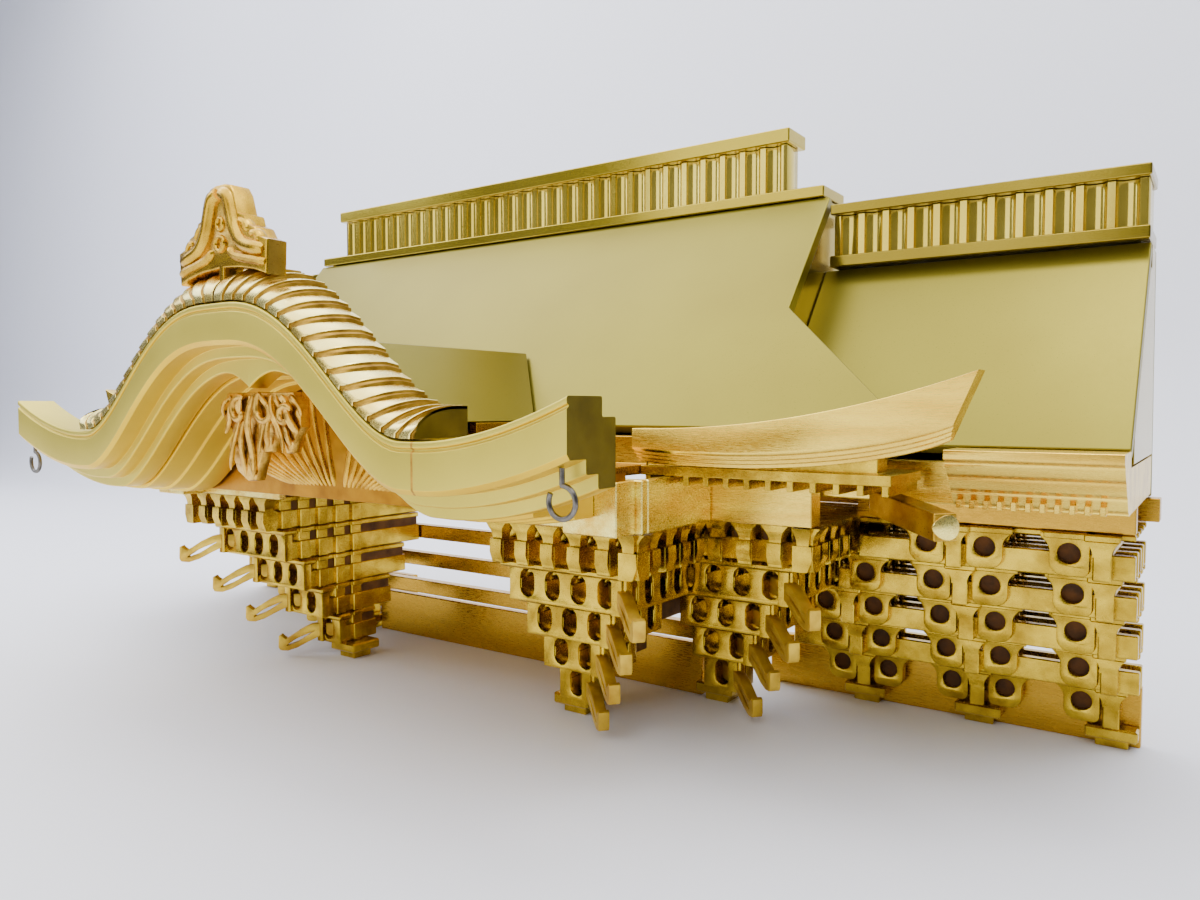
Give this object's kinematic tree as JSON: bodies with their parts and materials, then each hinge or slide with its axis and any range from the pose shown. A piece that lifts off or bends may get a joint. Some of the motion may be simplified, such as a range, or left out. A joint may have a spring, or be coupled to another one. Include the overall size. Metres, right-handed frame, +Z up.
{
  "type": "buddhist altar palace roof",
  "caption": "gilded wooden roof and bracket unit of a household altar, with a curved porch gable, fluted ridges, wing roofs and stepped bracket towers on base blocks",
  "frame": {"origin": "under the middle of the roof, on the plane of the base blocks' feet", "axes": "+X to the right along the ridge, +Y to the back, +Z up"},
  "size_m": [0.595, 0.228, 0.2642],
  "materials": {
    "gold_leaf": "gold leaf over lacquer on wood, burnished, with brown recesses",
    "matt_gold": "pale matt gold over lacquer on wood",
    "pale_gold_lacquer": "pale olive gold satin lacquer on wood",
    "olive_gold_lacquer": "glossy olive gold lacquer on wood",
    "hook_steel": "plain steel wire"
  },
  "bodies": {
    "root": {"centre_board": "gold_leaf", "centre_tie_2": "gold_leaf", "centre_tie_3": "gold_leaf", "centre_tie_4": "gold_leaf", "centre_tie_5": "gold_leaf", "corner_rafter_left": "gold_leaf", "corner_rafter_right": "gold_leaf", "front_tower_left": "gold_leaf", "front_tower_right": "gold_leaf", "hook_left": "hook_steel", "hook_right": "hook_steel", "main_eave_beam_left": "gold_leaf", "main_eave_beam_right": "gold_leaf", "main_eave_board_left": "gold_leaf", "main_eave_board_right": "gold_leaf", "main_eave_frame_left": "gold_leaf", "main_eave_frame_right": "gold_leaf", "main_gable_wall_left": "olive_gold_lacquer", "main_gable_wall_right": "olive_gold_lacquer", "main_ridge_cap": "olive_gold_lacquer", "main_ridge_frieze": "olive_gold_lacquer", "main_ridge_plinth": "olive_gold_lacquer", "main_roof_slope": "pale_gold_lacquer", "porch_ceiling": "gold_leaf", "porch_deck": "pale_gold_lacquer", "porch_finial": "gold_leaf", "porch_gable_board": "matt_gold", "porch_panel": "gold_leaf", "porch_pendant": "gold_leaf", "porch_ribs_left": "gold_leaf", "porch_ribs_right": "gold_leaf", "porch_soffit": "matt_gold", "rear_tower_left": "gold_leaf", "rear_tower_right": "gold_leaf", "roof_back": "pale_gold_lacquer", "wing_back_purlin_left": "gold_leaf", "wing_back_purlin_right": "gold_leaf", "wing_board_left": "gold_leaf", "wing_board_right": "gold_leaf", "wing_brackets_left": "gold_leaf", "wing_brackets_right": "gold_leaf", "wing_eave_left": "gold_leaf", "wing_eave_right": "gold_leaf", "wing_end_wall_left": "olive_gold_lacquer", "wing_end_wall_right": "olive_gold_lacquer", "wing_front_beam_left": "gold_leaf", "wing_front_beam_right": "gold_leaf", "wing_ridge_cap_left": "olive_gold_lacquer", "wing_ridge_cap_right": "olive_gold_lacquer", "wing_ridge_frieze_left": "olive_gold_lacquer", "wing_ridge_frieze_right": "olive_gold_lacquer", "wing_ridge_plinth_left": "olive_gold_lacquer", "wing_ridge_plinth_right": "olive_gold_lacquer", "wing_roof_slope_left": "pale_gold_lacquer", "wing_roof_slope_right": "pale_gold_lacquer"}
  },
  "joints": []
}
